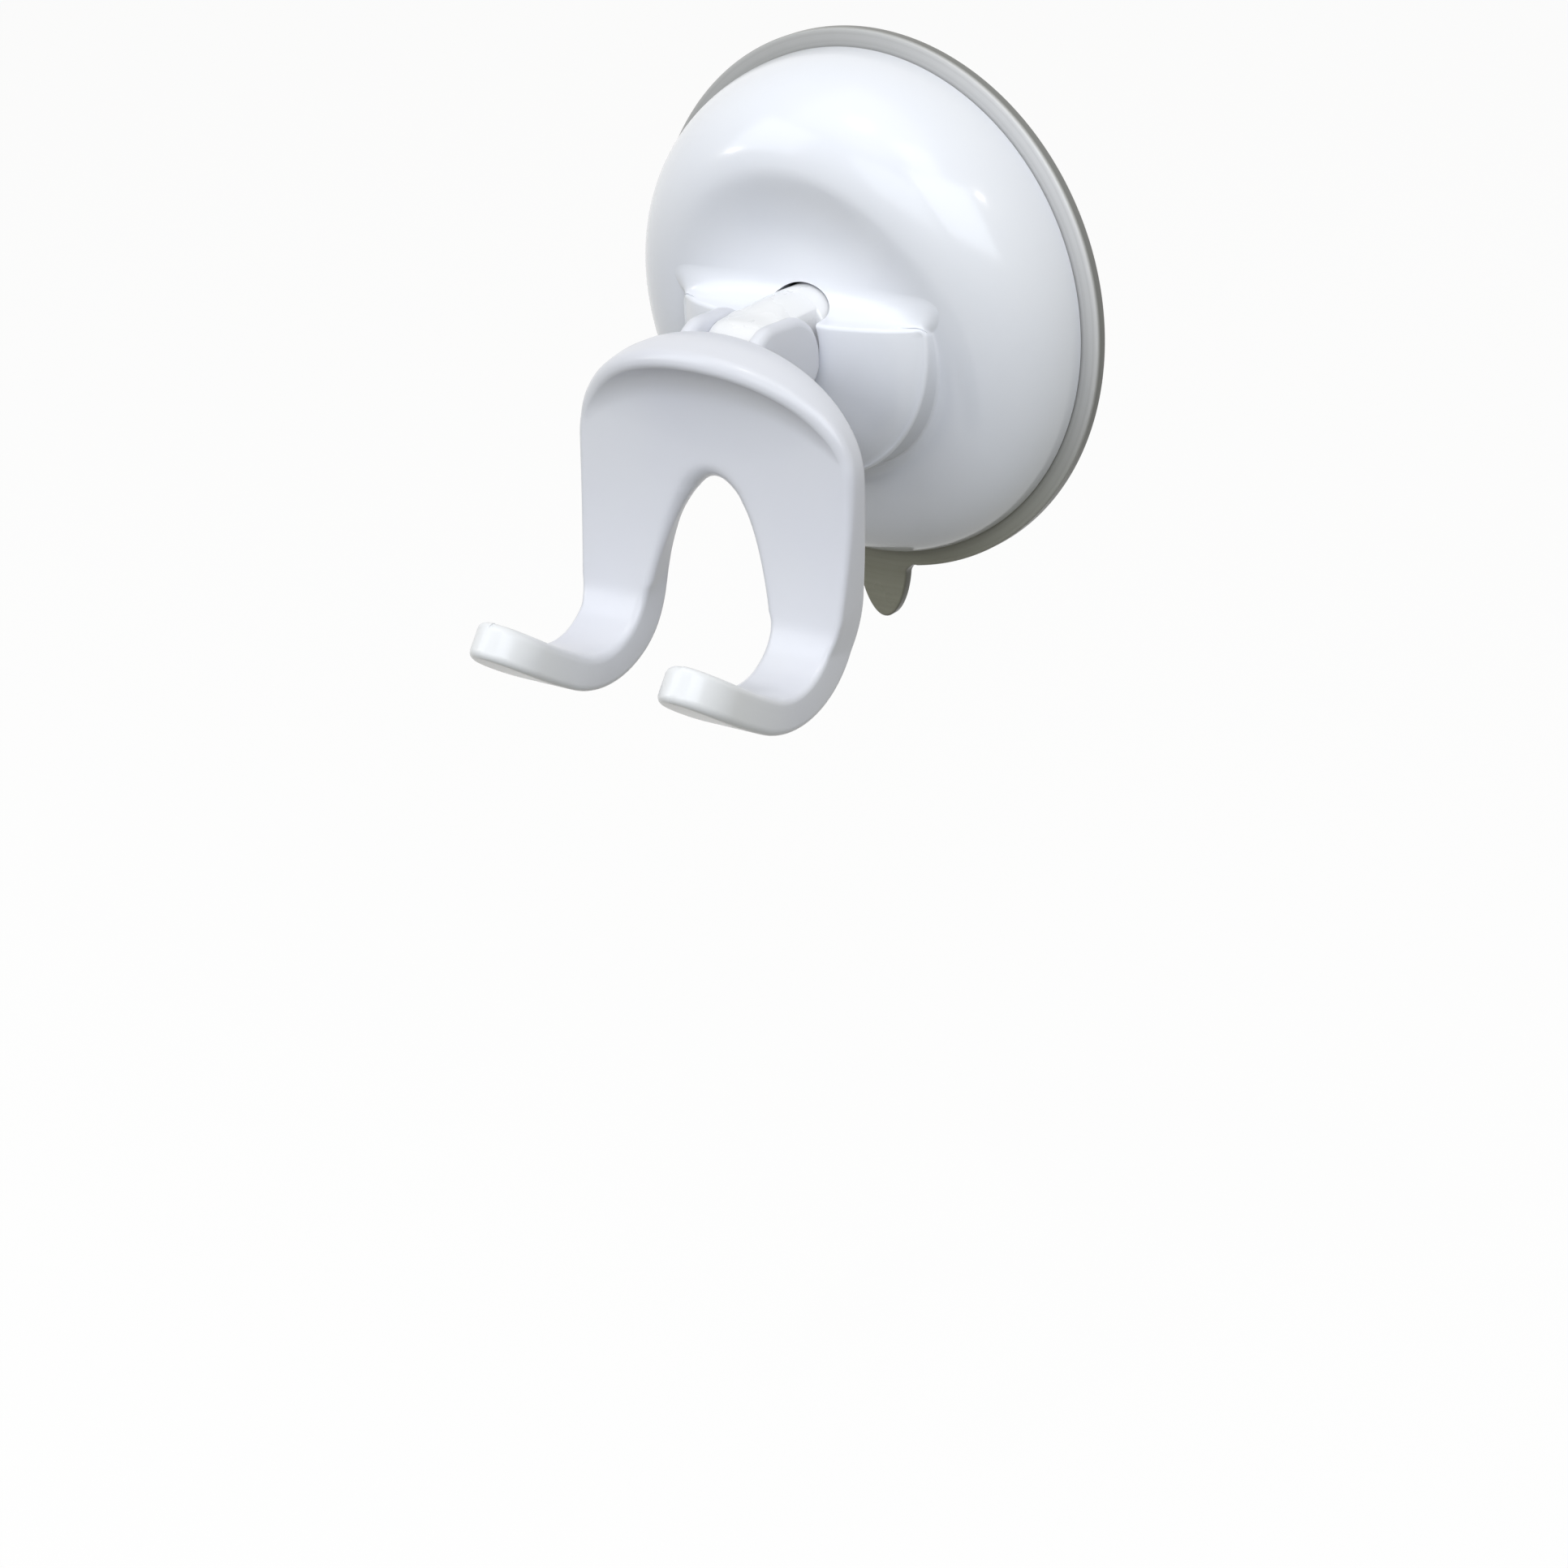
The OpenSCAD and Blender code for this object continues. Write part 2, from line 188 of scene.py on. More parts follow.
# %% [markdown]
# ## The cover
# The hard cover is a leaning dome: its crest is a circle seen from the front, but it stands out
# more at the top than at the bottom. Inside the crest the surface dips to a flat floor, and a half
# round pad rises below the middle, for the lever's cams to press on. The whole front can be one
# skin if its columns fan out from a point inside the pad: they cross the pad's face, its rounded
# edge, its wall and a small fillet, then the dish, the crest and the shoulder, and turn in under
# the free edge.

# %% The cover's sizes, in mm
EDGE_R, CREST_R, EDGE_H, WALL = 29.0, 18.5, 1.75, 1.8
FLOOR_R, FLOOR_H = 8.0, 13.0
PAD_R, SHELF_Z, PAD_TURN_R, PAD_EDGE = 17.0, 2.2, 1.1, 0.5
FAN_Z = -6.0


def crest_height(angle):
    """The crest's height leans: 12.3 plus 3.9 times the sine of the angle round the front."""
    return 12.3 + 3.9 * np.sin(angle)


def shoulder(angle, p, inset=0.0):
    """Superellipse from the crest (p = 1) to the free edge (p = 0), set in by inset."""
    p = p * np.pi / 2
    u, v = np.cos(p) ** (2 / 1.95), np.sin(p) ** (2 / 1.95)
    r = CREST_R + (EDGE_R - inset - CREST_R) * u
    low = EDGE_H + 0.25
    height = low + (crest_height(angle) - inset - low) * v
    return off_wall(r * np.cos(angle), r * np.sin(angle), height)


def dish_height(x, z):
    """Dish from floor to crest: share (s^2 - s^8 / 4) / 0.75 of the way up, level at the crest."""
    r, angle = np.hypot(x, z), np.arctan2(z, x)
    s = np.clip((r - FLOOR_R) / (CREST_R - FLOOR_R), 0, 1)
    k = (s * s - s ** 8 / 4) / 0.75
    return FLOOR_H + (crest_height(angle) - FLOOR_H) * k


PAD_AT = [0, 5.5, 6.8, 7.9, 9.2, 12, 14.2, 16.4, 17.6]
PAD_HEIGHT = [17.55, 17.55, 17.52, 17.36, 17.08, 16.28, 15.4, 13.95, 12.95]


def pad_height(x, z):
    """The pad's crowned face by distance from the stem: flat in the middle, then falling faster."""
    return through(np.hypot(x, z), PAD_AT, PAD_HEIGHT)


def pad_outline():
    """Half disc with rounded corners, clockwise: points and outward normals."""
    inner = PAD_R - PAD_TURN_R
    corner_z = SHELF_Z - PAD_TURN_R
    corner_x = math.sqrt(inner ** 2 - corner_z ** 2)
    meet = math.atan2(corner_z, corner_x)
    x = np.linspace(-corner_x, corner_x, 132, endpoint=False)
    turn_right = np.linspace(np.pi / 2, meet, 16, endpoint=False)
    around = np.linspace(meet, -np.pi - meet, 190, endpoint=False)
    turn_left = np.linspace(np.pi - meet, np.pi / 2, 16, endpoint=False)
    straight = np.stack([x, np.full_like(x, SHELF_Z)], -1)
    parts, normals = [straight], [np.tile([0.0, 1.0], (len(x), 1))]
    for angles, radius, cx, cz in ((turn_right, PAD_TURN_R, corner_x, corner_z),
                                   (around, PAD_R, 0, 0),
                                   (turn_left, PAD_TURN_R, -corner_x, corner_z)):
        n = np.stack([np.cos(angles), np.sin(angles)], -1)
        parts.append(np.array([cx, cz]) + radius * n)
        normals.append(n)
    return np.concatenate(parts), np.concatenate(normals)


# %% The cover's rings
edge, edge_n = pad_outline()
quarter = np.linspace(0, np.pi / 2, 9)
DRAFT = 0.1
soft = smoothstep((edge_n[:, 1] - 0.35) / 0.6)
spread = 0.4 + 2.8 * soft
foot = edge + (DRAFT + spread)[:, None] * edge_n
wall_foot = dish_height(*foot.T)
rings = []

rim = edge - PAD_EDGE * edge_n
fan = np.array([0.0, FAN_Z])
for q in np.linspace(0.04, 1, 26):
    p = fan + (rim - fan) * q
    rings.append(off_wall(p[:, 0], p[:, 1], pad_height(*p.T)))

rim_top = pad_height(*rim.T)
wall = rim_top - wall_foot
drop = np.minimum(PAD_EDGE, 0.45 * wall)
for a in quarter[1:]:
    p = edge - PAD_EDGE * (1 - math.sin(a)) * edge_n
    rings.append(off_wall(p[:, 0], p[:, 1], rim_top - drop * (1 - math.cos(a))))

fillet = np.minimum(spread, (0.45 + 0.25 * soft) * wall)
for a in quarter[:-1]:
    p = edge + (DRAFT + spread * (1 - math.cos(a)))[:, None] * edge_n
    rings.append(off_wall(p[:, 0], p[:, 1], wall_foot + fillet * (1 - math.sin(a))))

ray = foot - fan
lead = (ray ** 2).sum(1)
along = ray @ fan
reach = (-along + np.sqrt(along ** 2 - lead * (fan @ fan - CREST_R ** 2))) / lead
crest = fan + ray * reach[:, None]
crest_angle = np.arctan2(crest[:, 1], crest[:, 0])
for q in np.linspace(0, 1, 22, endpoint=False):
    p = foot + (crest - foot) * q
    rings.append(off_wall(p[:, 0], p[:, 1], dish_height(*p.T)))

for p in np.linspace(1, 0, 46):
    rings.append(shoulder(crest_angle, p))
for a in quarter[1:]:
    r = EDGE_R - 0.25 * (1 - math.cos(a))
    rings.append(off_wall(r * np.cos(crest_angle), r * np.sin(crest_angle),
                          np.full_like(crest_angle, EDGE_H + 0.25 * (1 - math.sin(a)))))
for p in np.linspace(0, 1, 12):
    rings.append(shoulder(crest_angle, p, WALL))
for r in (15.0, 11.5, FLOOR_R):
    x, z = r * np.cos(crest_angle), r * np.sin(crest_angle)
    rings.append(off_wall(x, z, dish_height(x, z) - WALL))
cover = piece("cover_shell", [skin(np.stack(rings))])

# %% [markdown]
# ## The hole for the stem
# The stem leaves the cover through a round hole with a narrow dark gap round it. The hole crosses
# floor, shelf and pad, so cutting it is simpler than fanning the columns round it. An exact boolean
# does the cut; the cutter is a round skin of its own and is thrown away afterwards.

# %% Round skins and cuts
def turned(profile, axis, centre, count=96):
    """Round skin about an axis: profile points (distance along the axis, radius), in mm."""
    a = np.linspace(0, 2 * np.pi, count, endpoint=False)
    t, r = np.asarray(profile, float).T
    ring = r[:, None] * np.cos(a), r[:, None] * np.sin(a)
    run = t[:, None] + 0 * a
    order = {"x": (run, ring[0], ring[1]), "y": (ring[0], run, ring[1])}
    return skin(np.stack(order[axis], -1) + np.asarray(centre, float))


def cut(made, cutter_skin, sharp=40):
    """Takes a closed skin out of a piece, keeps the result as its mesh and shades it again."""
    cutter = piece("cutter", [cutter_skin])
    boolean = made.modifiers.new("cut", "BOOLEAN")
    boolean.operation, boolean.solver, boolean.object = "DIFFERENCE", "EXACT", cutter
    bpy.context.view_layer.update()
    evaluated = made.evaluated_get(bpy.context.evaluated_depsgraph_get())
    result = bpy.data.meshes.new_from_object(evaluated)
    made.modifiers.clear()
    made.data = result
    smooth_shade(result, sharp)
    bpy.data.objects.remove(cutter)
    print(made.name, "after the cut:", len(result.polygons), "faces")


cut(cover, turned([(-30, 5.25), (0, 5.25)], "y", (0, 0, 0), 128))

# %% [markdown]
# ## The soft cup
# The cup is moulded vinyl: a flat land that seals, a middle that is drawn in, a hub that holds the
# stem's disc, and a pull tab at the bottom. It is nearly a turned part, so a turned profile is the
# base. Only the outermost rings leave the circle: each column there runs to its own point of an
# outline that takes in the tab, and the edge is rounded along that outline's normals.

# %% The cup's outline with the tab
CUP_R, RIM_T, TAB_T, RECESS = 31.0, 1.7, 1.3, 1.65
INNER_R = 27.4


def cup_outline():
    """Circle of the rim with the tab, clockwise from the top. The tab's side is a blunt curve of
    half width 3.55 (1 - u^1.7)^(1/2), u from its root to its end, and a fillet joins it to the
    circle."""
    u = np.linspace(0, 1, 90) ** 0.55
    half = 3.55 * np.sqrt(np.clip(1 - u ** 1.7, 0, 1)) + 1.15 * (1 - np.clip(u / 0.2, 0, 1)) ** 2.2
    z = -30.6 - 7.15 * u
    root = math.atan2(-math.sqrt(CUP_R ** 2 - half[0] ** 2), half[0])
    around = np.linspace(np.pi / 2, root, 150, endpoint=False)
    circle = CUP_R * np.stack([np.cos(around), np.sin(around)], -1)
    tab = np.stack([half, z + (circle[-1, 1] + 30.6) * (1 - u) ** 4], -1)
    side = np.concatenate([circle, tab])
    return np.concatenate([side, side[-2:0:-1] * [-1, 1]])


outline = cup_outline()
closed = np.vstack([outline, outline[:1]])
run = np.concatenate([[0], np.cumsum(np.linalg.norm(np.diff(closed, axis=0), axis=1))])
at = run[:-1]
outline_n = outward(outline)
cup_angle = np.unwrap(np.arctan2(outline[:, 1], outline[:, 0]))
print("cup outline", len(outline), "points, tab to", round(float(outline[:, 1].min()), 2), "mm")

# %% [markdown]
# The columns' feet on the inner circle are spread evenly along the outline's length near the tab,
# so that quads fan into it without crossing. A profile in (radius, height) then makes the rings.
# Each point also keeps its distance from the outline, which the vinyl's painted shade along the
# outer wall uses later.

# %% The cup's rings
in_tab = outline[:, 1] < -30.55
root_angle = cup_angle[np.argmax(in_tab)], cup_angle[len(in_tab) - 1 - np.argmax(in_tab[::-1])]
share = (at - at[in_tab][0]) / (at[in_tab][-1] - at[in_tab][0])
foot_angle = np.where(in_tab, root_angle[0] + (root_angle[1] - root_angle[0]) * share, cup_angle)
foot_circle = INNER_R * np.stack([np.cos(foot_angle), np.sin(foot_angle)], -1)


def cup_ring(r, height):
    """Ring at radius r and a height above the wall. Inside the cover it is a circle; outside it
    runs towards the outline, and the last half millimetre follows the outline's normals."""
    if r <= INNER_R:
        p = foot_circle * (r / INNER_R)
    elif r <= CUP_R - 0.5:
        near = outline - 0.5 * outline_n
        p = foot_circle + (near - foot_circle) * (r - INNER_R) / (CUP_R - 0.5 - INNER_R)
    else:
        p = outline - (CUP_R - r) * outline_n
    thin = 1 - (1 - TAB_T / RIM_T) * smoothstep((np.hypot(*p.T) - 30.4) / 2.2)
    return off_wall(p[:, 0], p[:, 1], height * thin)


profile = [(0.3, RECESS), (4, RECESS), (8, RECESS), (10.3, RECESS - 0.02), (11.2, RECESS - 0.12),
           (14, 1.22), (18, 0.68), (21.5, 0.2), (22.6, 0.06), (23.4, 0), (25, 0), (27.2, 0),
           (28.5, 0), (29.8, 0), (30.5, 0)]
REAR_TURN, FRONT_TURN = 0.35, 0.24
profile += [(CUP_R - REAR_TURN * (1 - math.sin(a)), REAR_TURN * (1 - math.cos(a)))
            for a in quarter[1:]]
profile += [(CUP_R - FRONT_TURN * (1 - math.cos(a)), RIM_T - FRONT_TURN * (1 - math.sin(a)))
            for a in quarter]
profile += [(30.4, 1.69), (30, 1.68), (29.5, 1.7), (29, 1.68), (28, 1.62), (27, 1.66), (24, 2.05),
            (20.5, 2.65), (18, 2.86), (15, 3.2), (12.8, 3.5), (11.3, 4), (10.8, 4.7), (10.8, 5.6),
            (10.7, 6), (10.45, 6.22), (10.1, 6.3), (7, 6.3), (5.6, 6.3), (5.3, 6.2), (5.2, 6),
            (5.2, 5.15), (9.05, 5.15), (9.05, 2.45), (6, 2.45), (3, 2.45), (0.3, 2.45)]
cup = piece("soft_cup_skin", [skin(np.stack([cup_ring(r, h) for r, h in profile]))])
place_in = np.empty(3 * len(cup.data.vertices))
cup.data.vertices.foreach_get("co", place_in)
from_wall = place_in.reshape(-1, 3)[:, [0, 2]] / MM
gap = np.concatenate([np.hypot(*(part[:, None] - outline[None]).T).min(0)
                      for part in np.array_split(from_wall, 60)])
cup.data.attributes.new("edge_gap", "FLOAT", "POINT").data.foreach_set("value", gap)

# %% [markdown]
# ## The stem
# The stem is one rigid moulding: a disc that the cup's hub holds, a round shaft, and a flat eye for
# the pivot pin. The shaft is a turned profile. The eye is a slab seen from the side, with the
# shaft's round outline still on its edges, so its section narrows towards both faces.

# %% Slabs with rounded edges
def slab(outline, x0, x1, edge, squeeze=None):
    """Closed slab along X from an outline in (Y, Z): rings set in along the normals near both faces
    by edge * (1 - sine), a few rings across, and a flat face each side. squeeze bends a ring."""
    normal = outward(outline)
    middle = outline.mean(0)
    arc = np.linspace(0, np.pi / 2, 6)
    turn = [(edge * (1 - math.cos(a)), edge * (1 - math.sin(a))) for a in arc]
    stations = [(x0, None)] + [(x0 + run, inset) for run, inset in turn]
    stations += [(x, 0) for x in np.linspace(x0 + edge, x1 - edge, 9)[1:-1]]
    stations += [(x1 - run, inset) for run, inset in turn[::-1]] + [(x1, None)]
    rings = []
    for x, inset in stations:
        p = outline - (edge if inset is None else inset) * normal
        if inset is None:
            p = middle + 0.5 * (p - middle)
        if squeeze is not None:
            p = squeeze(p, x)
        rings.append(np.stack([np.full(len(p), x), p[:, 0], p[:, 1]], -1))
    return skin(np.stack(rings))


# %% The stem's shaft and eye
PIN_Y, EYE_HALF, STEM_R, EYE_R = -23.2, 3.58, 4.9, 3.6

shaft = [(-4.0, 0.5), (-4.0, 8.8), (-4.1, 8.95), (-4.3, 9.0), (-4.85, 9.0), (-5.05, 8.9),
         (-5.1, 8.7), (-5.1, 5.3), (-5.2, 5.0), (-5.4, STEM_R), (-9, STEM_R), (-13, STEM_R)]
shaft += [(-15.25 - 0.4 * math.sin(a), STEM_R - 0.4 * (1 - math.cos(a))) for a in quarter]
shaft += [(-15.65, 2.0)]

tip = np.radians(np.linspace(-80, 80, 25))
eye_end = np.stack([PIN_Y - EYE_R * np.cos(tip), EYE_R * np.sin(tip)], -1)
flank = np.array([[-22, 3.8], [-20.6, 4.25], [-18.9, 4.72], [-17, 4.86], [-15, 4.88], [-13.2, 4.88],
                  [-13.0, 4.5], [-13.0, 2]])
eye_side = np.concatenate([eye_end, flank, [[-13.0, 0]], flank[::-1] * [1, -1]])


def round_sides(p, x):
    """The slab's height follows the shaft's circle, times sqrt(1 - (x / radius)^2): in full near
    the shaft, and by 0.3 of it at the eye."""
    share = 0.3 + 0.7 * smoothstep((p[:, 0] + 22) / 3.2)
    factor = 1 - share * (1 - math.sqrt(1 - (x / STEM_R) ** 2))
    return np.stack([p[:, 0], p[:, 1] * factor], -1)


EYE_EDGE, PIN_HOLE_R = 0.16, 1.53
eye = slab(closed_curve(eye_side, 200), -EYE_HALF, EYE_HALF, EYE_EDGE, round_sides)
stem = piece("stem_body", [turned(shaft, "y", (0, 0, 0)), eye])
cut(stem, turned([(-8, PIN_HOLE_R), (8, PIN_HOLE_R)], "x", (0, PIN_Y, 0), 64))

# %% [markdown]
# ## The fork
# The lever's fork is a horseshoe: an arched head with a raised lip, two legs, a bend, and two arms
# that turn up. It could be cut from a solid, but its edges all have different radii. Here one
# closed section is carried along the horseshoe instead. A section runs from the gap to the outer
# edge, and two curves in side view, the back and the front, say where each of its points lies. The
# sizes of the roundings, the lip's height and its fillet change smoothly from section to section.

# %% Back and front lines of the fork
BACK, PLATE_T, LEG_T, TIP_T = 28.2, 2.8, 4.0, 4.15
BEND_R, BEND_Y, BEND_Z = 11.8, 40.0, -23.3
CRADLE_R, CRADLE_Y, CRADLE_Z = 7.0, 40.2, -24.1
TURN, LEAD = math.radians(117), math.radians(12)
LEAD_Y = CRADLE_Y - CRADLE_R * math.cos(LEAD)
LEAD_Z = CRADLE_Z - CRADLE_R * math.sin(LEAD)
TIP_ARC, TIP_RUN, THICKER_Z = 70.0, 12.8, -3.4


def tip_line(s, inset):
    """Upturned tip, s from 2 to 3: an arc of radius 70 that goes on from the bend, set in."""
    a = TURN + (s - 2) * TIP_RUN / TIP_ARC
    k = TIP_ARC - BEND_R
    return (BEND_Y + k * math.cos(TURN) - (TIP_ARC - inset) * np.cos(a),
            BEND_Z + k * math.sin(TURN) - (TIP_ARC - inset) * np.sin(a))


def back_line(s):
    """Distance off the wall and height of the fork's back: leg to s = 1, bend to 2, tip to 3."""
    a = TURN * (np.clip(s, 1, 2) - 1)
    leg = np.full_like(s, BACK), 4 - 27.3 * s
    bend = BEND_Y - BEND_R * np.cos(a), BEND_Z - BEND_R * np.sin(a)
    tip = tip_line(s, 0)
    return [np.where(s <= 1, l, np.where(s <= 2, b, t)) for l, b, t in zip(leg, bend, tip)]


def front_line(s):
    """The same of its front. The leg thickens as a parabola, the tip thins towards its end."""
    a = LEAD + (TURN - LEAD) * (np.clip(s, 1, 2) - 1)
    z = 4 - 27.3 * s + (LEAD_Z - BEND_Z) * np.clip(2 * s - 1, 0, 1) ** 2
    low = np.clip((THICKER_Z - z) / (THICKER_Z - LEAD_Z), 0, 1) ** 2
    leg = BACK + PLATE_T + (LEAD_Y - BACK - PLATE_T) * low, z
    bend = CRADLE_Y - CRADLE_R * np.cos(a), CRADLE_Z - CRADLE_R * np.sin(a)
    tip = tip_line(s, LEG_T - (LEG_T - TIP_T) * np.clip(s - 2, 0, 1))
    ease = np.clip(3 - s, 0, 1)
    tip = tip[0] - 0.163 * ease, tip[1] - 0.087 * ease
    return [np.where(s <= 1, l, np.where(s <= 2, b, t)) for l, b, t in zip(leg, bend, tip)]


# %% Stations along one half of the horseshoe
HEAD_A, HEAD_B, HEAD_Z, GAP_TOP, GAP_K = 19.05, 13.4, -9.9, -12.25, 0.155
ARM_IN, ARM_OUT, TIP_LEN = 9.0, 17.4, 6.0


def side_of(z):
    """Station number s at which the leg's back has height z."""
    return (4 - z) / 27.3


def gap_side(z):
    """Half width of the gap at height z: a parabola that bends softly into the arm's inner side."""
    raw = np.sqrt((GAP_TOP - z) / GAP_K)
    blunt = 0.5 * (raw + ARM_IN + 0.03 - np.sqrt((raw - ARM_IN) ** 2 + 0.8))
    return raw + (blunt - raw) * smoothstep((raw - 3.6) / 2)


turn_a = np.radians(np.linspace(90, 0, 46))
inner_x = 3.6 * (1 - turn_a / (np.pi / 2))
arch = dict(xo=HEAD_A * np.cos(turn_a), so=side_of(HEAD_Z + HEAD_B * np.sin(turn_a)), xi=inner_x,
            si=side_of(GAP_TOP - GAP_K * inner_x ** 2))
k = np.linspace(0, 1, 27)[1:]
leg_zo = HEAD_Z + (BEND_Z - HEAD_Z) * k
leg_zi = GAP_TOP - GAP_K * 3.6 ** 2 + (BEND_Z - GAP_TOP + GAP_K * 3.6 ** 2) * k
leg = dict(xo=HEAD_A - 1.65 * ((HEAD_Z - leg_zo) / 19.4) ** 1.7, so=side_of(leg_zo),
           xi=gap_side(leg_zi), si=side_of(leg_zi))
s = np.linspace(1, 2, 46)[1:]
bend_z = np.where(s < 1.5, back_line(s)[1], -36)
bend = dict(xo=HEAD_A - 1.65 * np.clip((HEAD_Z - bend_z) / 19.4, 0, 1) ** 1.7, so=s,
            xi=gap_side(bend_z), si=s)
s = np.append(np.linspace(2, 3 - TIP_LEN / TIP_RUN, 12)[1:], np.full(20, 3 - TIP_LEN / TIP_RUN))
tip = dict(xo=np.full_like(s, ARM_OUT), so=s, xi=np.full_like(s, ARM_IN), si=s)
half = {n: np.concatenate([part[n] for part in (arch, leg, bend, tip)]) for n in arch}
count = len(half["xo"])
psi = np.concatenate([np.zeros(count - 20), np.linspace(0, np.pi / 2, 21)[1:]])
reach_in = smoothstep((half["so"] - 0.35) / 0.6)
print("fork:", count, "sections on each side")

# %% [markdown]
# A point of a section is given by its side (-1 at the gap, +1 outside), how far it is set in from
# that side, and its height above the back or the front line. Near the end of an arm the sections
# shrink along nested half ellipses, so the same roundings run round the tip.

# %% The fork's section
xc, xh = (half["xo"] + half["xi"]) / 2, (half["xo"] - half["xi"]) / 2
sc, sh = (half["so"] + half["si"]) / 2, (half["so"] - half["si"]) / 2
width = np.maximum(np.hypot(2 * xh, 2 * sh * 27.3), 7.9)
in_arch = half["so"] < side_of(HEAD_Z) + 1e-6
lip = np.where(in_arch, 3.5 - (52 - np.sqrt(52 ** 2 - half["xo"] ** 2)), 0).clip(0)
CROWN_AT, CROWN_R, COVE_R = 1.2, 0.9, 5.6
sweep = np.arccos(np.clip(1 - lip / (CROWN_R + COVE_R), 0, 1))


def across(side, inset):
    """(x, s) of a point set in by inset from one side; width, tongue and ellipse as arrays."""
    inset = np.broadcast_to(inset, xc.shape)
    q = side * (1 - inset / (width / 2)) * np.cos(psi)
    grow = (TIP_LEN - inset) * np.sin(psi) / TIP_RUN
    return xc + xh * q, sc + sh * q + grow


def place(x, s, height, from_front):
    """Point at height mm above the front line, or above the back line, along the line between."""
    s = np.maximum(s, 0)
    by, bz = back_line(s)
    fy, fz = front_line(s)
    thick = np.hypot(fy - by, fz - bz)
    t = height / thick + (1 if from_front else 0)
    return np.stack([x, -(by + (fy - by) * t), bz + (fz - bz) * t], -1)


def lean(height):
    """The lip's outer side leans in by 0.22 mm for each mm that it stands beyond 2 mm."""
    return 0.22 * np.clip(height + PLATE_T - 2.0, 0, None) * smoothstep(lip / 0.8)


round_back = 0.8 + 0.35 * (1 - reach_in)
round_in = 1.9 - 0.9 * reach_in
round_out = 1.15 - 0.45 * reach_in
draft = 0.5 * smoothstep((half["so"] - 0.45) / 0.3) * (1 - smoothstep((half["so"] - 0.95) / 0.5))
arc = np.linspace(0, np.pi / 2, 8)
loop = []
for a in arc:
    x, s = across(-1, draft + round_back * (1 - math.sin(a)))
    loop.append(place(x, s, round_back * (1 - math.cos(a)), False))
for a in arc:
    x, s = across(-1, round_in * (1 - math.cos(a)))
    loop.append(place(x, s, -round_in * (1 - math.sin(a)), True))
face_in = across(-1, round_in)

ridge = np.maximum(CROWN_AT, round_out)
face_out = across(1, ridge + (CROWN_R + COVE_R) * np.sin(sweep))
for t in np.linspace(0, 1, 20)[1:-1]:
    x, s = (a + (b - a) * t for a, b in zip(face_in, face_out))
    loop.append(place(x, s, 0, True))
for t in np.linspace(0, 1, 12):
    height = COVE_R * (1 - np.cos(t * sweep))
    inset = ridge + CROWN_R * np.sin(sweep) + COVE_R * (np.sin(sweep) - np.sin(t * sweep))
    x, s = across(1, inset + lean(height))
    loop.append(place(x, s, height, True))
for t in np.linspace(1, 0, 8)[1:]:
    height = lip - CROWN_R * (1 - np.cos(t * sweep))
    x, s = across(1, ridge + CROWN_R * np.sin(t * sweep) + lean(height))
    loop.append(place(x, s, height, True))
for a in arc:
    height = lip - round_out * (1 - math.cos(a))
    x, s = across(1, round_out * (1 - math.sin(a)) + lean(height))
    loop.append(place(x, s, height, True))
for t in (0.4, 0.75):
    low = round_back - PLATE_T
    height = (lip - round_out) * (1 - t) + low * t
    x, s = across(1, lean(height))
    loop.append(place(x, s, height, True))
round_rear = 0.6 + 0.3 * reach_in
for a in arc:
    x, s = across(1, round_rear * (1 - math.cos(a)))
    loop.append(place(x, s, round_rear * (1 - math.sin(a)), False))
rear_in, rear_out = across(-1, draft + round_back), across(1, round_rear)
for t in np.linspace(1, 0, 16)[1:-1]:
    x, s = (a + (b - a) * t for a, b in zip(rear_in, rear_out))
    loop.append(place(x, s, 0, False))

half_rings = np.stack(loop, 1)
mirrored = half_rings[:0:-1] * [-1, 1, 1]
horseshoe = skin(np.concatenate([mirrored, half_rings]))

# %% [markdown]
# ## Cheeks, cams and bosses
# Behind the head two cheeks carry the pin on either side of the stem. Their edge towards the wall
# is the cam: its distance from the pin falls by the same amount for each degree, so the stem
# slides evenly as the lever turns. A round boss and a foot thicken each cheek, and the left boss
# has a seat for the pin's head. All of them are slabs from an outline in side view. The boss stays
# within the cam's reach at the top, so that it clears the pad when the lever is up.

# %% The cheeks' outline
CHEEK_X, CAM_X, BOSS_X, FOOT_X = 3.65, 5.75, 6.35, 7.05
SEAT_X, SEAT_R, FOOT_Z = 6.3, 2.55, -0.5
turn_up = np.radians(np.linspace(0, 90, 16))
fall = 1.5 / (np.pi / 2)
bearing = 5.5 - fall * turn_up
cam = np.stack([bearing * np.cos(turn_up) + fall * np.sin(turn_up),
                bearing * np.sin(turn_up) - fall * np.cos(turn_up)], -1)
below = [(-6.4, -8.2), (-4.2, -7.9), (-1.6, -6.6), (0.9, -5.45), (2.8, -4.85), (4.4, -3.9),
         (5.25, -2.8), (5.48, -1.9)]
above = [(-0.1, 4.0), (-1.1, 4.03), (-2.2, 4.05), (-3.2, 3.95), (-4.2, 3.55), (-5.2, 2.9),
         (-6.2, 2.1), (-6.9, -1), (-6.8, -5)]
cheek_side = closed_curve(np.concatenate([below, cam[1:], above]) + [PIN_Y, 0], 240)
disc = np.radians(np.linspace(-90, 260, 36))
disc_r = 4.45 - 0.45 * np.clip(np.sin(disc), 0, 1) - 0.3 * np.clip(-np.cos(disc), 0, 1)
disc_points = np.stack([disc_r * np.cos(disc), disc_r * np.sin(disc)], -1)
boss_side = closed_curve(disc_points + [PIN_Y, 0], 200)
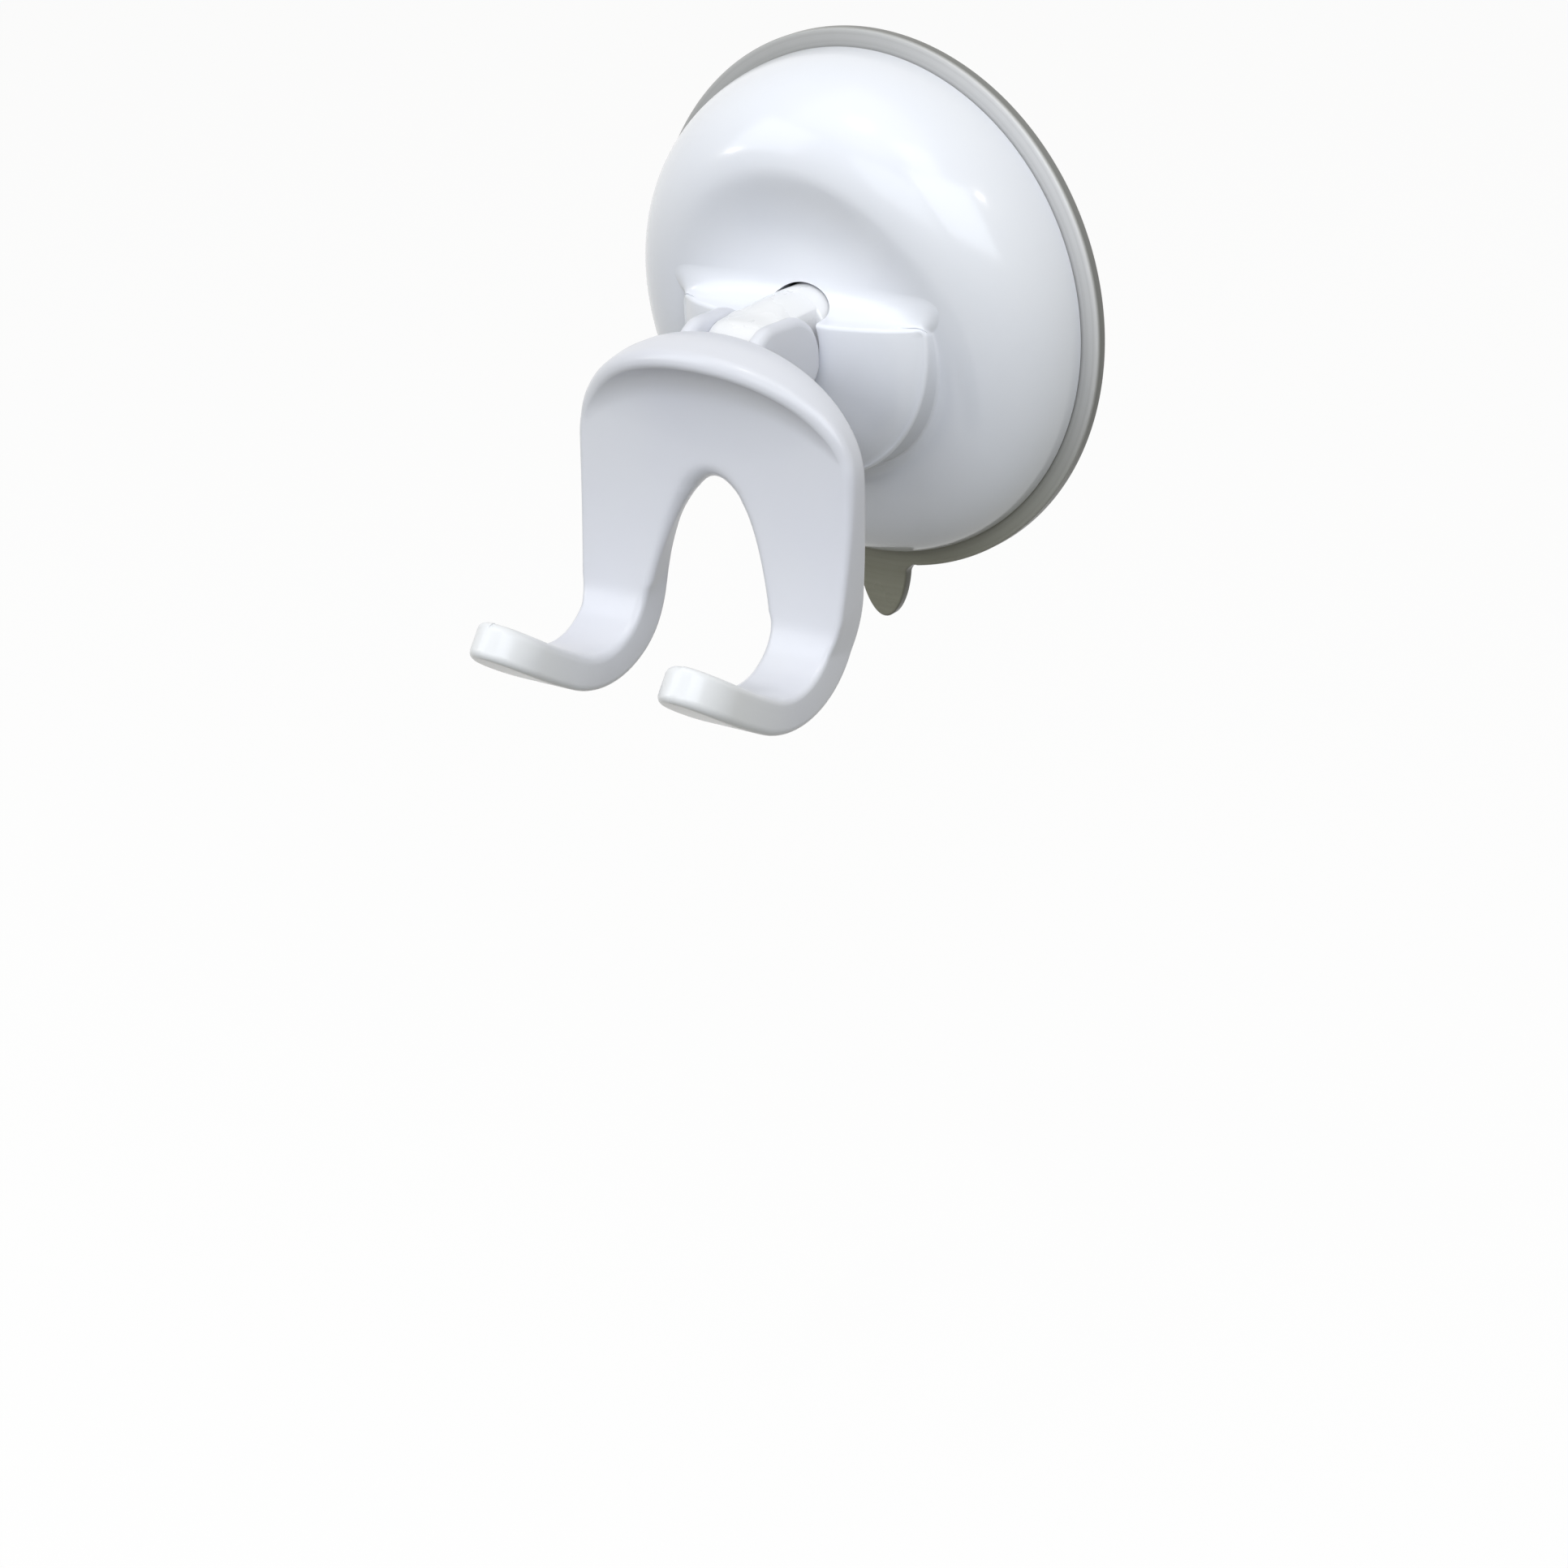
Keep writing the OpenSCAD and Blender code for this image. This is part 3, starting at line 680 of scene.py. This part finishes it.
foot_side = closed_curve(np.array([
    (-4.6, 1.1), (-3.0, 1.35), (-1.2, 1.25), (0.6, 0.9), (1.7, 0.5), (2.6, 0.0), (3.4, -0.6),
    (3.95, -1.3), (4.1, -2.1), (3.7, -2.9), (2.8, -3.6), (1.3, -4.4), (-0.8, -5.2), (-3.0, -6.3),
    (-4.8, -7.0), (-5.3, -3.5)]) + [PIN_Y, FOOT_Z], 160)
cheeks = []
for side in (-1, 1):
    for shape, inner, outer, edge_r in ((cheek_side, CHEEK_X, CAM_X, 0.95),
                                        (boss_side, CHEEK_X + 0.7, BOSS_X, 0.5),
                                        (foot_side, CHEEK_X + 0.8, FOOT_X, 0.9)):
        near, far = sorted((side * inner, side * outer))
        cheeks.append(slab(shape, near, far, edge_r))

fork = piece("fork_body", [horseshoe] + cheeks)
cut(fork, turned([(-9, SEAT_R), (-SEAT_X, SEAT_R)], "x", (0, PIN_Y, 0)))

# %% [markdown]
# ## Materials as expressions
# Shader nodes are easier to read as formulas. The class below wraps an output socket, so that
# adding or multiplying two of them adds the Math node. Any other node comes from one method, which
# sets the node's own settings first and then the values or links of its sockets.

# %% A socket that works like a number
class Signal:
    """An output socket in a material, used like a number in an expression."""

    def __init__(self, socket):
        self.socket = socket

    def make(self, kind, settings=None, values=None, output=0):
        """Adds a node of this kind: settings first, then sockets by name or number."""
        tree = self.socket.id_data
        node = tree.nodes.new(kind)
        for key, value in (settings or {}).items():
            setattr(node, key, value)
        for key, value in (values or {}).items():
            if isinstance(value, Signal):
                tree.links.new(value.socket, node.inputs[key])
            else:
                node.inputs[key].default_value = value
        return Signal(node.outputs[output])

    def maths(self, operation, a, b):
        return self.make("ShaderNodeMath", {"operation": operation}, {0: a, 1: b})

    def __add__(self, other):
        return self.maths("ADD", self, other)

    def __sub__(self, other):
        return self.maths("SUBTRACT", self, other)

    def __rsub__(self, other):
        return self.maths("SUBTRACT", other, self)

    def __mul__(self, other):
        return self.maths("MULTIPLY", self, other)

    def __truediv__(self, other):
        return self.maths("DIVIDE", self, other)

    def __rtruediv__(self, other):
        return self.maths("DIVIDE", other, self)

    def __pow__(self, other):
        return self.maths("POWER", self, other)

    __radd__, __rmul__ = __add__, __mul__

    def clipped(self, low=0.0, high=1.0):
        """This value between low and high, stretched to run from zero to one."""
        return self.make("ShaderNodeMapRange", None,
                         {"Value": self, "From Min": low, "From Max": high})

    def blend(self, first, second):
        """Colour between first, at zero, and second, at one."""
        return self.make("ShaderNodeMix", {"data_type": "RGBA"},
                         {0: self, 6: first, 7: second}, 2)


def finish_of(name, **constants):
    """New material with a Principled shader. Returns the material, its shader node and the
    object's coordinates as a Signal. Numbers that are the same everywhere are set here."""
    material = bpy.data.materials.new(name)
    material.use_nodes = True
    shader = material.node_tree.nodes["Principled BSDF"]
    for key, value in constants.items():
        shader.inputs[key.replace("_", " ")].default_value = value
    coordinates = material.node_tree.nodes.new("ShaderNodeTexCoord")
    return material, shader, Signal(coordinates.outputs["Object"])


def feed(shader, **signals):
    """Links signals to the shader's sockets, by name."""
    for key, signal in signals.items():
        shader.id_data.links.new(signal.socket, shader.inputs[key.replace("_", " ")])


# %% [markdown]
# ## White mouldings
# The cover, fork and stem are glossy white plastic. A real moulding isn't one even white: the
# wall's thickness and flow lines change its shade a little, its gloss has faint waves, and handling
# leaves it slightly duller in patches. Three noises of different size do that, each very faint. The
# fork is a little darker than the cover, and its arms carry painted light: their colour goes over
# to a lighter shade towards their ends.

# %% White plastic
def white_plastic(name, cool, warm, gloss, wave, painted_tip_light=None):
    """Two near whites mixed by a large noise, roughness from a middle one, waves from bump. Where a
    tip colour is given, the colour goes over to it between 40 and 50 mm off the wall: painted light."""
    material, shader, spot = finish_of(name, IOR=1.47, Coat_Weight=0.3, Coat_Roughness=0.11,
                                       Specular_IOR_Level=0.38)
    cloud = spot.make("ShaderNodeTexNoise", None, {"Vector": spot, "Scale": 38.0, "Detail": 3.0})
    smear = spot.make("ShaderNodeTexNoise", None, {"Vector": spot, "Scale": 210.0, "Detail": 4.0})
    grain = spot.make("ShaderNodeTexNoise", None, {"Vector": spot, "Scale": 2600.0, "Detail": 2.0})
    shade = cloud.clipped(0.3, 0.7).blend(cool, warm)
    if painted_tip_light:
        # Painted light: the arms' ends turn lighter than the rest of the fork.
        axes = spot.make("ShaderNodeSeparateXYZ", None, {"Vector": spot}, "Y")
        shade = axes.clipped(-0.050, -0.040).blend(painted_tip_light, shade)
    feed(shader, Base_Color=shade,
         Roughness=smear.clipped(0.25, 0.75) * 0.06 + gloss,
         Normal=spot.make("ShaderNodeBump", None, {
             "Height": smear * 0.3 + grain * 0.7, "Strength": wave, "Distance": 0.00002}))
    return material


cover_white = white_plastic("cover_white", (0.77, 0.79, 0.86, 1), (0.80, 0.815, 0.87, 1), 0.18, 0.2)
# The fork's last colour is the painted light at the ends of its arms.
fork_white = white_plastic("fork_white", (0.665, 0.675, 0.745, 1), (0.695, 0.705, 0.755, 1),
                           0.28, 0.3, (0.80, 0.81, 0.84, 1))
stem_white = white_plastic("stem_white", (0.79, 0.80, 0.83, 1), (0.82, 0.82, 0.835, 1), 0.24, 0.25)

# %% [markdown]
# ## Soft vinyl
# The cup is grey and slightly see-through. Its rim is light at the upper right, grey at the top
# and olive at the bottom. Only a little light goes through it here; that light and shade are
# painted into the colour instead: painted light towards the upper right, by direction from the
# middle, and painted shade towards the bottom, by height, so they stay when the lamps change.
# Painted shade also darkens it beside the cover and along the outer wall, and a noise of the
# radius alone draws faint turning marks.

# %% Vinyl
vinyl, shader, spot = finish_of("soft_vinyl", IOR=1.5, Transmission_Weight=0.06,
                                Specular_IOR_Level=0.3)
cloud = spot.make("ShaderNodeTexNoise", None, {"Vector": spot, "Scale": 70.0, "Detail": 3.0})
axes = spot.make("ShaderNodeSeparateXYZ", None, {"Vector": spot})
x, y, z = (Signal(axes.socket.node.outputs[n]) for n in "XYZ")
radius = (x * x + z * z) ** 0.5
streaks = spot.make("ShaderNodeTexNoise", {"noise_dimensions": "1D"},
                    {"W": radius, "Scale": 1800.0, "Detail": 2.0})
# Painted shade by height: olive towards the bottom, grey higher up.
painted_light_and_shade = (z + cloud * 0.004).clipped(-0.030, -0.003)
painted_light_and_shade = painted_light_and_shade.blend((0.25, 0.245, 0.19, 1), (0.43, 0.43, 0.43, 1))
# The clear term is painted light: lighter towards the upper right, by direction from the middle.
clear = ((x * 0.848 + z * 0.53) / radius).clipped() ** 3.0
painted_light_and_shade = clear.blend(painted_light_and_shade, (0.72, 0.72, 0.735, 1))
# Painted shade beside the cover's edge, plus real turning marks from the streaks.
shade = (1 - radius.clipped(0.0290, 0.0297)) * 0.3 + streaks.clipped(0.35, 0.65) * 0.14
edge_gap = spot.make("ShaderNodeAttribute", {"attribute_name": "edge_gap"}, None, 2)
# Painted shade along the outer wall, near the rim's back edge.
painted_wall_shade = (1 - edge_gap.clipped(0.05, 0.3)) * y.clipped(-0.0016, -0.0011)
shade = shade.maths("MAXIMUM", shade, painted_wall_shade * 0.75)
# The dark colour is that of the painted shade and of the turning marks.
feed(shader, Base_Color=shade.blend(painted_light_and_shade, (0.07, 0.07, 0.055, 1)),
     Roughness=cloud.clipped(0.3, 0.7) * 0.1 + 0.27,
     Normal=spot.make("ShaderNodeBump", None, {
         "Height": streaks, "Strength": 0.2, "Distance": 0.00004}))

# %% [markdown]
# ## Steel pin
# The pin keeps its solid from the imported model. Turned steel has fine lines round it, which a noise
# gives when its scale along X, the pin's axis, is much higher than across it.

# %% Steel
steel, shader, spot = finish_of("pin_steel", Metallic=1.0)
lines = spot.make("ShaderNodeMapping", None,
                  {"Vector": spot, "Scale": (3200.0, 250.0, 250.0)})
lines = lines.make("ShaderNodeTexNoise", None, {"Vector": lines, "Scale": 1.0, "Detail": 3.0})
feed(shader, Base_Color=lines.clipped(0.3, 0.7).blend((0.52, 0.52, 0.53, 1), (0.66, 0.66, 0.66, 1)),
     Roughness=lines * 0.2 + 0.2,
     Normal=lines.make("ShaderNodeBump", None, {
         "Height": lines, "Strength": 0.2, "Distance": 0.00002}))

# %% [markdown]
# ## Putting the pieces on their bodies
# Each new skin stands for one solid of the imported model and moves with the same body. The soft cup
# stays with the cover: it keeps its moulded shape here, though in use the stem draws its middle.

# %% Bodies, finishes and slots
for made, node, body, material, slot in (
        (cover, "dome_cover", "root", cover_white, "white_cover"),
        (cup, "suction_cup", "root", vinyl, "soft_cup"),
        (stem, "draw_stem", "stem", stem_white, "white_stem"),
        (fork, "razor_fork", "lever", fork_white, "white_fork")):
    made.data.materials.clear()
    made.data.materials.append(material)
    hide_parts(node)
    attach(made, body)
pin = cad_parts["pivot_pin"]
for place_of in pin.material_slots:
    place_of.material = steel

# %% [markdown]
# ## Floor, lights and background
# The holder hangs in the air in front of a plain white background. A pale floor lies well below it
# and keeps its soft shadow. One large soft lamp from above gives the bright upper shoulder and the
# grey lower half. A smaller one makes the broad highlight at the upper right, three fills come from
# the right, left and front, and three tiny warm lamps make the sparks on the gloss. What the camera
# sees directly is plain white; what lights the object stays modest.

# %% Floor
def seen_directly(signal):
    """One for rays from the camera and for reflected and refracted ones, zero for the light."""
    rays = signal.make("ShaderNodeLightPath").socket.node.outputs
    seen = Signal(rays["Is Camera Ray"])
    for ray in ("Is Glossy Ray", "Is Transmission Ray"):
        seen = seen.maths("MAXIMUM", seen, Signal(rays[ray]))
    return seen


FLOOR_REACH, FLOOR_LEVEL, FLOOR_GLOW = 0.9, -0.13, 0.93
span = (-FLOOR_REACH, FLOOR_REACH)
floor_mesh = bpy.data.meshes.new("floor")
floor_mesh.from_pydata([(x, y, FLOOR_LEVEL) for y in span for x in span], [], [(0, 1, 3, 2)])
floor = bpy.data.objects.new("floor", floor_mesh)
bpy.context.scene.collection.objects.link(floor)
pale, shader, spot = finish_of("pale_floor", Roughness=0.8)
tree = pale.node_tree
seen = seen_directly(spot)
feed(shader, Base_Color=seen.blend((0.08, 0.078, 0.055, 1), (0.9, 0.9, 0.9, 1)))
glow = spot.make("ShaderNodeEmission", None, {"Color": (1, 1, 1, 1), "Strength": 1.0})
lit = tree.nodes.new("ShaderNodeMixShader")
tree.links.new((seen * FLOOR_GLOW).socket, lit.inputs[0])
tree.links.new(shader.outputs[0], lit.inputs[1])
tree.links.new(glow.socket, lit.inputs[2])
tree.links.new(lit.outputs[0], tree.nodes["Material Output"].inputs[0])
floor_mesh.materials.append(pale)

# %% World
world = bpy.data.worlds.new("studio")
bpy.context.scene.world = world
world.use_nodes = True
tree = world.node_tree
room = tree.nodes["Background"]
seen = seen_directly(Signal(room.outputs[0]))
tree.links.new(seen.blend((1.0, 0.985, 0.87, 1), (1, 1, 1, 1)).socket, room.inputs["Color"])
AMBIENT = 0.42
tree.links.new((seen * (1 - AMBIENT) + AMBIENT).socket, room.inputs["Strength"])


# %% Lamps
def lamp(name, place, target, size, power, colour=(1, 1, 1)):
    """Square area lamp at place, in metres, aimed at target."""
    data = bpy.data.lights.new(name, "AREA")
    data.shape, data.size, data.energy, data.color = "SQUARE", size, power, colour
    made = bpy.data.objects.new(name, data)
    bpy.context.scene.collection.objects.link(made)
    made.location = place
    made.rotation_euler = (Vector(target) - Vector(place)).to_track_quat("-Z", "Y").to_euler()


middle_of = (0, -0.02, 0)
COOL, WARM = (0.9, 0.955, 1.03), (1.0, 0.94, 0.82)
lamp("top_softbox", (-0.1, -0.25, 0.75), middle_of, 0.7, 1.15, (0.96, 0.98, 1.02))
lamp("window", (0.25, -0.30, 0.60), (0.015, -0.012, 0.02), 0.22, 0.36)
lamp("right_fill", (0.46, -0.44, 0.36), middle_of, 0.45, 2.2, COOL)
lamp("left_fill", (-0.48, -0.45, 0.34), middle_of, 0.4, 0.95, COOL)
lamp("front_fill", (0.10, -0.72, 0.28), middle_of, 0.4, 0.9, COOL)
SPARK_FAR = 0.6
for number, (aim, size, power) in enumerate((((-0.096, -0.366, 0.926), 0.02, 0.2),
                                             ((-0.82, -0.536, 0.2), 0.014, 0.13),
                                             ((0.739, -0.162, 0.654), 0.014, 0.13))):
    lamp(f"spark_{number}", Vector(aim) * SPARK_FAR, middle_of, size, power, WARM)
bpy.context.scene.view_settings.view_transform = "Standard"
